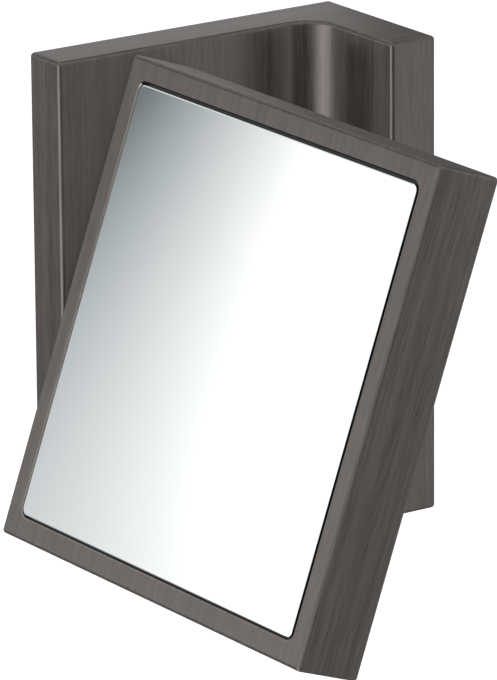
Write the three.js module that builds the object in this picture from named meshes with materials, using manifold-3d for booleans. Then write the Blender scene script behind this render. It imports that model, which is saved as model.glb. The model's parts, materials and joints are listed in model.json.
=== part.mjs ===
// Wall-mounted shaving mirror on an L-shaped bracket.
// The short leg of the bracket lies on the wall and the long leg, the arm, stands out from it.
// The mirror head tilts on a friction hinge in the end of the arm.
// Millimetres. The origin is the middle of the wall leg's back face.
// +X is right along the wall, +Y into the wall, +Z up.

import * as THREE from 'three';
import { mergeVertices } from 'three/addons/utils/BufferGeometryUtils.js';
import Module from 'manifold-3d';

const wasm = await Module();
wasm.setup();

// Driving dimensions
const HEIGHT = 150; // bracket and mirror head
const LEG_WIDTH = 56; // wall leg, along the wall
const ARM_LENGTH = 110; // from the wall to the arm's free end
const SECTION = 16.3; // thickness of both legs
const INNER_ROUND = 10; // inside corner between the legs
const EDGE_ROUND = 1.1; // upright edges of the bracket
const END_ROUND = 1; // edges of its top and bottom faces
const HEAD_WIDTH = 157;
const HEAD_DEPTH = 22;
const HEAD_CORNER_ROUND = 1.1; // four corners of the head, seen from the front
const HEAD_EDGE_ROUND = 1; // edges of its front and back
const HEAD_GAP = 1.5; // between the arm and the head
const TILT = THREE.MathUtils.degToRad(19.6); // head leans back, its face turned up
const RIM = 7; // width of the frame's front rim
const FIT_GAP = 0.3; // between pieces that touch

// Bracket
const ARM_OUTER_X = -LEG_WIDTH / 2;
const ARM_INNER_X = ARM_OUTER_X + SECTION;
const SKIN = 3; // wall of the hollow casting
const FLOOR_SKIN = 6; // thicker bottom wall, threaded for the grub screws
const ARM_SOLID_END = 23; // solid stretch at the arm's free end, around the axle
const PIVOT_Y = -ARM_LENGTH + HEAD_DEPTH / 2;

// Mounting plate
const PLATE_THICKNESS = 4;
const PLATE_FLANGE_DEPTH = 10;
const PLATE_FLANGE_THICKNESS = 3;
const PLATE_BOTTOM_Z = -60;
const WALL_HOLE_RADIUS = 2.7;
const WALL_HOLE_HEIGHTS = [45, -40];
const GRUB_RADIUS = 2;
const GRUB_X = 14;
const GRUB_Y = -8;
const GRUB_SINK = 0.4; // above the bracket's bottom face
const GRUB_SOCKET_RADIUS = 1.15;
const GRUB_SOCKET_DEPTH = 1.8;

// Mirror head, in its own frame: front is -Y, left side is at the hinge
const HEAD_LEFT = -HEAD_WIDTH / 2;
const FRONT_Y = -HEAD_DEPTH / 2;
const BACK_Y = HEAD_DEPTH / 2;
const FRAME_WALL = 3;
const RIM_THICKNESS = 2.6;
const OPENING_ROUND = 3;
const GLASS_GAP = 0.8; // black line round the glass
const GLASS_RISE = 0.2; // the glass stands out of the rim
const GLASS_THICKNESS = 3;
const GLASS_EDGE_ROUND = 0.3;
const ADHESIVE_THICKNESS = 0.5;
const ADHESIVE_INSET = 4;
const CARRIER_THICKNESS = 2;
const COVER_THICKNESS = 2;
const COVER_SINK = 0.3;
const GUSSET_LEG = 13; // corner lugs that take the cover's screws
const GUSSET_DEPTH = 7;
const CARRIER_CORNER_CLIP = 15;
const BUFFER_RADIUS = 5;
const BUFFER_X = 50;
const BUFFER_Z = 45;

// Depths inside the head, front to back
const RIM_BACK_Y = FRONT_Y + RIM_THICKNESS;
const GLASS_FRONT_Y = FRONT_Y - GLASS_RISE;
const GLASS_BACK_Y = GLASS_FRONT_Y + GLASS_THICKNESS;
const ADHESIVE_FRONT_Y = GLASS_BACK_Y + FIT_GAP;
const ADHESIVE_BACK_Y = ADHESIVE_FRONT_Y + ADHESIVE_THICKNESS;
const CARRIER_FRONT_Y = ADHESIVE_BACK_Y + FIT_GAP;
const CARRIER_BACK_Y = CARRIER_FRONT_Y + CARRIER_THICKNESS;
const COVER_BACK_Y = BACK_Y - COVER_SINK;
const COVER_FRONT_Y = COVER_BACK_Y - COVER_THICKNESS;
const LUG_BACK_Y = COVER_FRONT_Y - FIT_GAP;

// Hinge, along X
const AXLE_RADIUS = 3.5;
const AXLE_ROOT_RADIUS = 4;
const AXLE_ROOT_LENGTH = 10.2;
const RUNNING_BORE = 3.9; // bores that the axle turns in
const INSERT_RADIUS = 6;
const INSERT_LENGTH = 10.7;
const SPACER_RADIUS = 8;
const SPACER_THICKNESS = HEAD_GAP - 2 * FIT_GAP;
const PAD_THICKNESS = 6; // frame wall where the hinge block sits
const PAD_HALF_HEIGHT = 19;
const BLOCK_THICKNESS = 11;
const BLOCK_HALF_HEIGHT = 17;
const BLOCK_FRONT_Y = GLASS_BACK_Y + 1.5 * FIT_GAP;
const BUSH_RADIUS = 5;
const BUSH_FLANGE_RADIUS = 5.7;
const BUSH_FLANGE_THICKNESS = 1;
const STACK_RADIUS = 5.8; // washers and springs on the axle
const FRICTION_DISC_THICKNESS = 1.2;
const SPRING_HEIGHT = 1.5;
const SPRING_SHEET = 0.7;
const THRUST_WASHER_THICKNESS = 1.2;
const NUT_THICKNESS = 5;
const NUT_ACROSS_FLATS = 10;
const AXLE_PAST_NUT = 1.3;
const BLOCK_SCREW_Z = 11.5;
const BLOCK_SCREW_RADIUS = 1.8;
const BLOCK_SCREW_HEAD_RADIUS = 3.3;
const BLOCK_SCREW_HEAD_HEIGHT = 2.4;
const BLOCK_SCREW_SOCKET_RADIUS = 1.5;
const BLOCK_SCREW_SOCKET_DEPTH = 1.4;
const BLOCK_SCREW_BITE = 4.5; // depth in the frame's pad
const CARRIER_NOTCH_WIDTH = 30;
const CARRIER_NOTCH_HALF_HEIGHT = 21;

// Cover screws
const COVER_SCREW_RADIUS = 1.4;
const COVER_SCREW_HEAD_RADIUS = 2.8;
const COVER_SCREW_LENGTH = 8;
const COVER_SCREW_SINK = 0.1; // below the cover's back face
const COVER_SCREW_SOCKET_RADIUS = 1.1;
const COVER_SCREW_SOCKET_DEPTH = 1.2;
const COVER_SCREW_INSET = 5; // from the inside of the frame's walls

const ROUND_STEPS = 32;
const SMALL_STEPS = 16;
const ARC_STEPS = 4;
const BEVEL_STEPS = 2;
const PAST = 1; // how far a cutting tool runs past the face it cuts
const CONE_PAST = 0.01; // the same for a cone, which may not grow
const WELD = 1e-4; // corners closer than this are one corner

const FINISH = {
  brushed: { color: 0x5c5854, roughness: 0.38, metalness: 1 },
  plate: { color: 0x9a9c9e, roughness: 0.45, metalness: 1 },
  steel: { color: 0xb4b6b8, roughness: 0.3, metalness: 1 },
  spring: { color: 0x6f7276, roughness: 0.35, metalness: 1 },
  bronze: { color: 0xb08a4c, roughness: 0.4, metalness: 1 },
  mirror: { color: 0xe8eef0, roughness: 0.03, metalness: 1 },
  rubber: { color: 0x161616, roughness: 0.85, metalness: 0 },
  nylon: { color: 0x1c1c1e, roughness: 0.55, metalness: 0 },
  tape: { color: 0xd8d6cf, roughness: 0.8, metalness: 0 },
};

// Solid helpers

function toSolid(geometry) {
  const bare = geometry.clone();
  bare.deleteAttribute('normal');
  bare.deleteAttribute('uv');
  const merged = mergeVertices(bare, WELD);
  return new wasm.Manifold(new wasm.Mesh({
    numProp: 3,
    vertProperties: new Float32Array(merged.attributes.position.array),
    triVerts: new Uint32Array(merged.index.array),
  }));
}

function toGeometry(solid) {
  const mesh = solid.getMesh();
  const geometry = new THREE.BufferGeometry();
  geometry.setAttribute('position', new THREE.BufferAttribute(mesh.vertProperties, 3));
  geometry.setIndex(new THREE.BufferAttribute(mesh.triVerts, 1));
  geometry.computeVertexNormals();
  return geometry;
}

function join(...geometries) {
  return toGeometry(geometries.map(toSolid).reduce((all, next) => all.add(next)));
}

function cut(geometry, ...tools) {
  return toGeometry(tools.map(toSolid).reduce((rest, tool) => rest.subtract(tool), toSolid(geometry)));
}

function box([x0, x1], [y0, y1], [z0, z1]) {
  const geometry = new THREE.BoxGeometry(x1 - x0, y1 - y0, z1 - z0);
  return geometry.translate((x0 + x1) / 2, (y0 + y1) / 2, (z0 + z1) / 2);
}

function rodX(radius, [x0, x1], y = 0, z = 0, steps = ROUND_STEPS) {
  const geometry = new THREE.CylinderGeometry(radius, radius, x1 - x0, steps);
  return geometry.rotateZ(-Math.PI / 2).translate((x0 + x1) / 2, y, z);
}

function coneY(radiusAtY1, radiusAtY0, [y0, y1], x, z, steps = SMALL_STEPS) {
  const geometry = new THREE.CylinderGeometry(radiusAtY1, radiusAtY0, y1 - y0, steps);
  return geometry.translate(x, (y0 + y1) / 2, z);
}

function rodY(radius, span, x, z, steps = SMALL_STEPS) {
  return coneY(radius, radius, span, x, z, steps);
}

function rodZ(radius, [z0, z1], x, y, steps = SMALL_STEPS) {
  const geometry = new THREE.CylinderGeometry(radius, radius, z1 - z0, steps);
  return geometry.rotateX(Math.PI / 2).translate(x, y, (z0 + z1) / 2);
}

function ringX(outerRadius, innerRadius, [x0, x1]) {
  return cut(rodX(outerRadius, [x0, x1]), rodX(innerRadius, [x0 - PAST, x1 + PAST]));
}

function roundedRectangle(halfWidth, halfHeight, radius) {
  const shape = new THREE.Shape();
  const x = halfWidth - radius;
  const y = halfHeight - radius;
  const quarter = Math.PI / 2;
  shape.absarc(x, y, radius, 0, quarter, false);
  shape.absarc(-x, y, radius, quarter, 2 * quarter, false);
  shape.absarc(-x, -y, radius, 2 * quarter, 3 * quarter, false);
  shape.absarc(x, -y, radius, 3 * quarter, 4 * quarter, false);
  return shape;
}

// Extrudes a shape, drawn as seen from the front with x right and y up, from y0 back to y1.
// Its front and back edges are rounded by edgeRound.
function slabY(shape, [y0, y1], edgeRound = 0) {
  const geometry = new THREE.ExtrudeGeometry(shape, {
    depth: y1 - y0 - 2 * edgeRound,
    bevelEnabled: edgeRound > 0,
    bevelThickness: edgeRound,
    bevelSize: edgeRound,
    bevelOffset: -edgeRound,
    bevelSegments: BEVEL_STEPS,
    curveSegments: ARC_STEPS,
  });
  return geometry.rotateX(Math.PI / 2).translate(0, y1 - edgeRound, 0);
}

// Bracket body

function bracketOutline() {
  const shape = new THREE.Shape();
  const right = LEG_WIDTH / 2;
  const quarter = Math.PI / 2;
  const e = EDGE_ROUND;
  shape.absarc(ARM_OUTER_X + e, -e, e, 2 * quarter, quarter, true);
  shape.absarc(right - e, -e, e, quarter, 0, true);
  shape.absarc(right - e, -SECTION + e, e, 0, -quarter, true);
  const fillet = INNER_ROUND;
  shape.absarc(ARM_INNER_X + fillet, -SECTION - fillet, fillet, quarter, 2 * quarter, false);
  shape.absarc(ARM_INNER_X - e, -ARM_LENGTH + e, e, 0, -quarter, true);
  shape.absarc(ARM_OUTER_X + e, -ARM_LENGTH + e, e, -quarter, -2 * quarter, true);
  return shape;
}

function bracket() {
  const body = new THREE.ExtrudeGeometry(bracketOutline(), {
    depth: HEIGHT - 2 * END_ROUND,
    bevelThickness: END_ROUND,
    bevelSize: END_ROUND,
    bevelOffset: -END_ROUND,
    bevelSegments: BEVEL_STEPS,
    curveSegments: ARC_STEPS,
  }).translate(0, 0, -HEIGHT / 2 + END_ROUND);
  const pocketX = [ARM_OUTER_X + SKIN, LEG_WIDTH / 2 - SKIN];
  const pocketZ = [-HEIGHT / 2 + FLOOR_SKIN, HEIGHT / 2 - SKIN];
  const legPocket = box(pocketX, [-SECTION + SKIN, PAST], pocketZ);
  const armPocket = box([pocketX[0], ARM_INNER_X - SKIN], [-ARM_LENGTH + ARM_SOLID_END, PAST], pocketZ);
  const insertSeat = rodX(
    INSERT_RADIUS + FIT_GAP, [ARM_INNER_X - INSERT_LENGTH - 2 * FIT_GAP, ARM_INNER_X + PAST], PIVOT_Y,
  );
  const grubHoles = [-GRUB_X, GRUB_X].map((x) => (
    rodZ(GRUB_RADIUS + FIT_GAP, [-HEIGHT / 2 - PAST, pocketZ[0] + PAST], x, GRUB_Y)
  ));
  return cut(body, legPocket, armPocket, insertSeat, ...grubHoles);
}

function mountingPlate() {
  const halfWidth = LEG_WIDTH / 2 - SKIN - FIT_GAP;
  const topZ = HEIGHT / 2 - SKIN - FIT_GAP;
  const x = [-halfWidth, halfWidth];
  const plate = box(x, [-PLATE_THICKNESS, 0], [PLATE_BOTTOM_Z, topZ]);
  const flangeY = [-PLATE_FLANGE_DEPTH, 0];
  const topFlange = box(x, flangeY, [topZ - PLATE_FLANGE_THICKNESS, topZ]);
  const bottomFlange = box(x, flangeY, [PLATE_BOTTOM_Z, PLATE_BOTTOM_Z + PLATE_FLANGE_THICKNESS]);
  const holes = WALL_HOLE_HEIGHTS.map((z) => (
    coneY(WALL_HOLE_RADIUS, 2 * WALL_HOLE_RADIUS, [-PLATE_THICKNESS - CONE_PAST, CONE_PAST], 0, z)
  ));
  return cut(join(plate, topFlange, bottomFlange), ...holes);
}

function grubScrew() {
  const length = PLATE_BOTTOM_Z - FIT_GAP - (-HEIGHT / 2 + GRUB_SINK);
  const body = rodZ(GRUB_RADIUS, [0, length], 0, 0);
  return cut(body, rodZ(GRUB_SOCKET_RADIUS, [-PAST, GRUB_SOCKET_DEPTH], 0, 0, 6));
}

// Hinge pieces that stand still with the bracket, along X from the arm's inner face

const HEAD_SIDE_X = ARM_INNER_X + HEAD_GAP;
const BLOCK_START = HEAD_SIDE_X + PAD_THICKNESS + FIT_GAP;
const BLOCK_END = BLOCK_START + BLOCK_THICKNESS;
const FRICTION_DISC_X = BLOCK_END + FIT_GAP;
const SPRING_1_X = FRICTION_DISC_X + FRICTION_DISC_THICKNESS + FIT_GAP;
const SPRING_2_X = SPRING_1_X + SPRING_HEIGHT + FIT_GAP;
const THRUST_WASHER_X = SPRING_2_X + SPRING_HEIGHT + FIT_GAP;
const NUT_X = THRUST_WASHER_X + THRUST_WASHER_THICKNESS + FIT_GAP;
const AXLE_END_X = NUT_X + NUT_THICKNESS + AXLE_PAST_NUT;

function threadInsert() {
  return ringX(INSERT_RADIUS, AXLE_ROOT_RADIUS + FIT_GAP, [-INSERT_LENGTH - FIT_GAP, -FIT_GAP]);
}

function pivotAxle() {
  const root = rodX(AXLE_ROOT_RADIUS, [-AXLE_ROOT_LENGTH, -FIT_GAP]);
  const journal = rodX(AXLE_RADIUS, [-FIT_GAP - PAST, AXLE_END_X - ARM_INNER_X]);
  return join(root, journal);
}

function spacerWasher() {
  return ringX(SPACER_RADIUS, RUNNING_BORE, [0, SPACER_THICKNESS]);
}

// A conical spring washer, its wide side at the start or at the end of its height.
function discSpring(wideAtStart) {
  const rise = SPRING_HEIGHT - SPRING_SHEET;
  const [wide, narrow] = wideAtStart ? [0, rise] : [rise, 0];
  const profile = [
    [STACK_RADIUS, wide],
    [STACK_RADIUS, wide + SPRING_SHEET],
    [RUNNING_BORE, narrow + SPRING_SHEET],
    [RUNNING_BORE, narrow],
    [STACK_RADIUS, wide],
  ];
  const geometry = new THREE.LatheGeometry(profile.map(([r, x]) => new THREE.Vector2(r, x)), ROUND_STEPS);
  return geometry.rotateZ(-Math.PI / 2);
}

function thrustWasher() {
  return ringX(STACK_RADIUS, RUNNING_BORE, [0, THRUST_WASHER_THICKNESS]);
}

function lockNut() {
  const hex = rodX(NUT_ACROSS_FLATS / Math.sqrt(3), [0, NUT_THICKNESS], 0, 0, 6);
  return cut(hex, rodX(RUNNING_BORE, [-PAST, NUT_THICKNESS + PAST]));
}

// Mirror head

const INNER_HALF_WIDTH = HEAD_WIDTH / 2 - FRAME_WALL;
const INNER_HALF_HEIGHT = HEIGHT / 2 - FRAME_WALL;
const OPENING_HALF_WIDTH = HEAD_WIDTH / 2 - RIM;
const OPENING_HALF_HEIGHT = HEIGHT / 2 - RIM;
const GLASS_HALF_WIDTH = OPENING_HALF_WIDTH - GLASS_GAP;
const GLASS_HALF_HEIGHT = OPENING_HALF_HEIGHT - GLASS_GAP;
const COVER_SCREW_X = INNER_HALF_WIDTH - COVER_SCREW_INSET;
const COVER_SCREW_Z = INNER_HALF_HEIGHT - COVER_SCREW_INSET;
const CORNERS = [[-1, 1], [1, 1], [1, -1], [-1, -1]];

function cornerTriangle(sideX, sideZ) {
  const x = sideX * (INNER_HALF_WIDTH + PAST);
  const z = sideZ * (INNER_HALF_HEIGHT + PAST);
  const shape = new THREE.Shape();
  shape.moveTo(x, z);
  shape.lineTo(x - sideX * (GUSSET_LEG + PAST), z);
  shape.lineTo(x, z - sideZ * (GUSSET_LEG + PAST));
  return slabY(shape, [LUG_BACK_Y - GUSSET_DEPTH, LUG_BACK_Y]);
}

function mirrorFrame() {
  const outer = slabY(
    roundedRectangle(HEAD_WIDTH / 2, HEIGHT / 2, HEAD_CORNER_ROUND),
    [FRONT_Y, BACK_Y],
    HEAD_EDGE_ROUND,
  );
  const inside = box(
    [-INNER_HALF_WIDTH, INNER_HALF_WIDTH],
    [RIM_BACK_Y, BACK_Y + PAST],
    [-INNER_HALF_HEIGHT, INNER_HALF_HEIGHT],
  );
  const opening = slabY(
    roundedRectangle(OPENING_HALF_WIDTH, OPENING_HALF_HEIGHT, OPENING_ROUND),
    [FRONT_Y - PAST, RIM_BACK_Y + PAST],
  );
  const shell = cut(outer, inside, opening);
  const pad = box(
    [HEAD_LEFT + PAST, HEAD_LEFT + PAD_THICKNESS],
    [BLOCK_FRONT_Y, LUG_BACK_Y],
    [-PAD_HALF_HEIGHT, PAD_HALF_HEIGHT],
  );
  const gussets = CORNERS.map(([sideX, sideZ]) => cornerTriangle(sideX, sideZ));
  const axleHole = rodX(BUSH_FLANGE_RADIUS + FIT_GAP, [HEAD_LEFT - PAST, HEAD_LEFT + PAD_THICKNESS + PAST]);
  const padX = [HEAD_LEFT + PAD_THICKNESS - BLOCK_SCREW_BITE - FIT_GAP, HEAD_LEFT + PAD_THICKNESS + PAST];
  const padHoles = [-BLOCK_SCREW_Z, BLOCK_SCREW_Z].map((z) => (
    rodX(BLOCK_SCREW_RADIUS + FIT_GAP, padX, 0, z, SMALL_STEPS)
  ));
  const screwHoles = CORNERS.map(([sideX, sideZ]) => rodY(
    COVER_SCREW_RADIUS + FIT_GAP,
    [COVER_BACK_Y - COVER_SCREW_LENGTH - FIT_GAP, LUG_BACK_Y + PAST],
    sideX * COVER_SCREW_X,
    sideZ * COVER_SCREW_Z,
  ));
  return cut(join(shell, pad, ...gussets), axleHole, ...padHoles, ...screwHoles);
}

function mirrorGlass() {
  const outline = roundedRectangle(GLASS_HALF_WIDTH, GLASS_HALF_HEIGHT, OPENING_ROUND - GLASS_GAP);
  return slabY(outline, [GLASS_FRONT_Y, GLASS_BACK_Y], GLASS_EDGE_ROUND);
}

function glassSeal() {
  const y = [RIM_BACK_Y + FIT_GAP, CARRIER_FRONT_Y - FIT_GAP];
  const outer = slabY(
    roundedRectangle(INNER_HALF_WIDTH - FIT_GAP, INNER_HALF_HEIGHT - FIT_GAP, OPENING_ROUND), y,
  );
  const inner = slabY(
    roundedRectangle(GLASS_HALF_WIDTH + FIT_GAP, GLASS_HALF_HEIGHT + FIT_GAP, OPENING_ROUND - GLASS_GAP),
    [y[0] - PAST, y[1] + PAST],
  );
  const padRelief = box(
    [-INNER_HALF_WIDTH - PAST, -GLASS_HALF_WIDTH],
    [BLOCK_FRONT_Y - FIT_GAP, y[1] + PAST],
    [-PAD_HALF_HEIGHT - FIT_GAP, PAD_HALF_HEIGHT + FIT_GAP],
  );
  return cut(outer, inner, padRelief);
}

// Clearance round the hinge, cut from the left edge of the plates behind the glass.
function hingeNotch(y) {
  return box(
    [HEAD_LEFT, -INNER_HALF_WIDTH + CARRIER_NOTCH_WIDTH], [y[0] - PAST, y[1] + PAST],
    [-CARRIER_NOTCH_HALF_HEIGHT, CARRIER_NOTCH_HALF_HEIGHT],
  );
}

function adhesiveSheet() {
  const y = [ADHESIVE_FRONT_Y, ADHESIVE_BACK_Y];
  const halfWidth = GLASS_HALF_WIDTH - ADHESIVE_INSET;
  const halfHeight = GLASS_HALF_HEIGHT - ADHESIVE_INSET;
  return cut(box([-halfWidth, halfWidth], y, [-halfHeight, halfHeight]), hingeNotch(y));
}

function carrierPlate() {
  const y = [CARRIER_FRONT_Y, CARRIER_BACK_Y];
  const halfWidth = INNER_HALF_WIDTH - 2 * FIT_GAP;
  const halfHeight = INNER_HALF_HEIGHT - 2 * FIT_GAP;
  const clip = CARRIER_CORNER_CLIP;
  const shape = new THREE.Shape([
    [halfWidth, halfHeight - clip], [halfWidth - clip, halfHeight],
    [clip - halfWidth, halfHeight], [-halfWidth, halfHeight - clip],
    [-halfWidth, clip - halfHeight], [clip - halfWidth, -halfHeight],
    [halfWidth - clip, -halfHeight], [halfWidth, clip - halfHeight],
  ].map(([x, z]) => new THREE.Vector2(x, z)));
  return cut(slabY(shape, y), hingeNotch(y));
}

function carrierBuffer() {
  return rodY(BUFFER_RADIUS, [CARRIER_BACK_Y + FIT_GAP, COVER_FRONT_Y - FIT_GAP], 0, 0);
}

function backCover() {
  const plate = slabY(
    roundedRectangle(INNER_HALF_WIDTH - FIT_GAP, INNER_HALF_HEIGHT - FIT_GAP, HEAD_CORNER_ROUND),
    [COVER_FRONT_Y, COVER_BACK_Y],
  );
  const seats = CORNERS.flatMap(([sideX, sideZ]) => {
    const x = sideX * COVER_SCREW_X;
    const z = sideZ * COVER_SCREW_Z;
    const clear = rodY(COVER_SCREW_RADIUS + FIT_GAP, [COVER_FRONT_Y - PAST, COVER_BACK_Y], x, z);
    const sink = coneY(
      COVER_SCREW_HEAD_RADIUS + FIT_GAP,
      COVER_SCREW_RADIUS + FIT_GAP,
      [COVER_BACK_Y - COVER_SCREW_HEAD_RADIUS + COVER_SCREW_RADIUS, COVER_BACK_Y + CONE_PAST], x, z,
    );
    return [clear, sink];
  });
  return cut(plate, ...seats);
}

function coverScrew() {
  const headHeight = COVER_SCREW_HEAD_RADIUS - COVER_SCREW_RADIUS;
  const topY = -COVER_SCREW_SINK;
  const shank = rodY(COVER_SCREW_RADIUS, [-COVER_SCREW_LENGTH, topY], 0, 0);
  const head = coneY(COVER_SCREW_HEAD_RADIUS, COVER_SCREW_RADIUS, [topY - headHeight, topY], 0, 0);
  const socket = rodY(COVER_SCREW_SOCKET_RADIUS, [-COVER_SCREW_SOCKET_DEPTH, PAST], 0, 0, 6);
  return cut(join(shank, head), socket);
}

function hingeBlock() {
  const block = box(
    [0, BLOCK_THICKNESS], [BLOCK_FRONT_Y, LUG_BACK_Y - FIT_GAP], [-BLOCK_HALF_HEIGHT, BLOCK_HALF_HEIGHT],
  );
  const past = [-PAST, BLOCK_THICKNESS + PAST];
  const bore = rodX(BUSH_RADIUS + FIT_GAP, past);
  const screwHoles = [-BLOCK_SCREW_Z, BLOCK_SCREW_Z].map((z) => (
    rodX(BLOCK_SCREW_RADIUS + FIT_GAP, past, 0, z, SMALL_STEPS)
  ));
  return cut(block, bore, ...screwHoles);
}

function blockScrew() {
  const shankX = [-BLOCK_THICKNESS - FIT_GAP - BLOCK_SCREW_BITE, PAST];
  const shank = rodX(BLOCK_SCREW_RADIUS, shankX, 0, 0, SMALL_STEPS);
  const headX = [FIT_GAP, FIT_GAP + BLOCK_SCREW_HEAD_HEIGHT];
  const head = rodX(BLOCK_SCREW_HEAD_RADIUS, headX, 0, 0, SMALL_STEPS);
  const socketX = [headX[1] - BLOCK_SCREW_SOCKET_DEPTH, headX[1] + PAST];
  const socket = rodX(BLOCK_SCREW_SOCKET_RADIUS, socketX, 0, 0, 6);
  return cut(join(shank, head), socket);
}

function pivotBush() {
  const flange = rodX(BUSH_FLANGE_RADIUS, [0, BUSH_FLANGE_THICKNESS]);
  const sleeveEnd = BLOCK_END - HEAD_SIDE_X - 2 * FIT_GAP;
  const sleeve = rodX(BUSH_RADIUS, [0, sleeveEnd]);
  return cut(join(flange, sleeve), rodX(RUNNING_BORE, [-PAST, sleeveEnd + PAST]));
}

function frictionDisc() {
  return ringX(STACK_RADIUS, RUNNING_BORE, [0, FRICTION_DISC_THICKNESS]);
}

// Assembly

function piece(parent, name, geometry, finish, position = [0, 0, 0]) {
  const mesh = new THREE.Mesh(geometry, new THREE.MeshStandardMaterial(finish));
  mesh.name = name;
  mesh.position.set(...position);
  parent.add(mesh);
  return mesh;
}

const group = new THREE.Group();

piece(group, 'bracket', bracket(), FINISH.brushed);
piece(group, 'mounting_plate', mountingPlate(), FINISH.plate);
for (const [side, x] of [['left', -GRUB_X], ['right', GRUB_X]]) {
  const screw = [x, GRUB_Y, -HEIGHT / 2 + GRUB_SINK];
  piece(group, `bracket_grub_screw_${side}`, grubScrew(), FINISH.spring, screw);
}

const hinge = new THREE.Group();
hinge.position.set(0, PIVOT_Y, 0);
group.add(hinge);
piece(hinge, 'arm_thread_insert', threadInsert(), FINISH.steel, [ARM_INNER_X, 0, 0]);
piece(hinge, 'pivot_axle', pivotAxle(), FINISH.steel, [ARM_INNER_X, 0, 0]);
piece(hinge, 'spacer_washer', spacerWasher(), FINISH.nylon, [ARM_INNER_X + FIT_GAP, 0, 0]);
piece(hinge, 'disc_spring_1', discSpring(true), FINISH.spring, [SPRING_1_X, 0, 0]);
piece(hinge, 'disc_spring_2', discSpring(false), FINISH.spring, [SPRING_2_X, 0, 0]);
piece(hinge, 'thrust_washer', thrustWasher(), FINISH.steel, [THRUST_WASHER_X, 0, 0]);
piece(hinge, 'lock_nut', lockNut(), FINISH.steel, [NUT_X, 0, 0]);

const head = new THREE.Group();
const HEAD_CENTRE_X = HEAD_SIDE_X + HEAD_WIDTH / 2;
head.position.set(HEAD_CENTRE_X, PIVOT_Y, 0);
head.rotation.x = -TILT;
group.add(head);
piece(head, 'mirror_frame', mirrorFrame(), FINISH.brushed);
piece(head, 'mirror_glass', mirrorGlass(), FINISH.mirror);
piece(head, 'glass_seal', glassSeal(), FINISH.rubber);
piece(head, 'adhesive_sheet', adhesiveSheet(), FINISH.tape);
piece(head, 'carrier_plate', carrierPlate(), FINISH.plate);
piece(head, 'back_cover', backCover(), FINISH.brushed);
piece(head, 'hinge_block', hingeBlock(), FINISH.steel, [BLOCK_START - HEAD_CENTRE_X, 0, 0]);
piece(head, 'pivot_bush', pivotBush(), FINISH.bronze, [HEAD_LEFT + FIT_GAP, 0, 0]);
piece(head, 'friction_disc', frictionDisc(), FINISH.bronze, [FRICTION_DISC_X - HEAD_CENTRE_X, 0, 0]);
for (const [side, z] of [['upper', BLOCK_SCREW_Z], ['lower', -BLOCK_SCREW_Z]]) {
  piece(head, `hinge_block_screw_${side}`, blockScrew(), FINISH.steel, [BLOCK_END - HEAD_CENTRE_X, 0, z]);
}
CORNERS.forEach(([sideX, sideZ], i) => {
  const buffer = [sideX * BUFFER_X, 0, sideZ * BUFFER_Z];
  piece(head, `carrier_buffer_${i + 1}`, carrierBuffer(), FINISH.rubber, buffer);
  const screw = [sideX * COVER_SCREW_X, COVER_BACK_Y, sideZ * COVER_SCREW_Z];
  piece(head, `cover_screw_${i + 1}`, coverScrew(), FINISH.spring, screw);
});

export default group;
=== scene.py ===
"""The looks of a wall-mounted shaving mirror in dark brushed metal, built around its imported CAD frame.

Everything is in metres, in the CAD's own frame: +X right along the wall, +Y into the wall, +Z up.
The bracket's pieces are made in that frame. The mirror head's pieces are made upright, centred on
the head with its face towards -Y, and then tilted about the pivot.
"""

import json
import math

import bmesh
import bpy
from mathutils import Matrix, Vector

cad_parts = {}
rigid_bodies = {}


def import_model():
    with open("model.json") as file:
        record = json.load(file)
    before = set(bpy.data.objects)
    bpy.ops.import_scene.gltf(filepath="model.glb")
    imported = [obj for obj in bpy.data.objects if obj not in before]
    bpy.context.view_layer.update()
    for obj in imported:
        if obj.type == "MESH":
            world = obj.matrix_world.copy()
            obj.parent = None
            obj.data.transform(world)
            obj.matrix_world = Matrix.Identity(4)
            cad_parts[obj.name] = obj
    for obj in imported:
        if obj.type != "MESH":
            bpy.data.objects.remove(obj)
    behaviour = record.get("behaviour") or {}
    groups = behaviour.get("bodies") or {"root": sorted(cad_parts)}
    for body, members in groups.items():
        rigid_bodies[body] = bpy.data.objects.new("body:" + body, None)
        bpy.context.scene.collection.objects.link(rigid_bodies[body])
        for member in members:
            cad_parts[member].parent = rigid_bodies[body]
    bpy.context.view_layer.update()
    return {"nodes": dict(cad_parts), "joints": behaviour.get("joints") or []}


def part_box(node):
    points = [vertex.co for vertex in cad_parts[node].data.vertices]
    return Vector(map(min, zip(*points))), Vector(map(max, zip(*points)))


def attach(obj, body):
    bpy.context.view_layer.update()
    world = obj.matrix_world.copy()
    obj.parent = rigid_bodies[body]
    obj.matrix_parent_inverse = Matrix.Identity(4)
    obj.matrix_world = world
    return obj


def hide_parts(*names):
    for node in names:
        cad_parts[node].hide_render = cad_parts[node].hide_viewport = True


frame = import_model()

MM = 0.001

# ---------------------------------------------------------------- sizes, from the frame

BRACKET_LOW, BRACKET_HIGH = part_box("bracket")
PLATE_LOW, PLATE_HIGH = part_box("mounting_plate")
FRAME_LOW, FRAME_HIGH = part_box("mirror_frame")
PIVOT = Vector(frame["joints"][0]["pos_m"])
HEIGHT = BRACKET_HIGH.z - BRACKET_LOW.z
SECTION = PIVOT.x - BRACKET_LOW.x
HEAD_WIDTH = FRAME_HIGH.x - FRAME_LOW.x
HEAD_DEPTH = 2 * (PIVOT.y - BRACKET_LOW.y)
TILT = math.radians(19.6)
HEAD_PLACE = (
    Matrix.Translation(((FRAME_LOW.x + FRAME_HIGH.x) / 2, PIVOT.y, PIVOT.z))
    @ Matrix.Rotation(-TILT, 4, "X")
)

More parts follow.
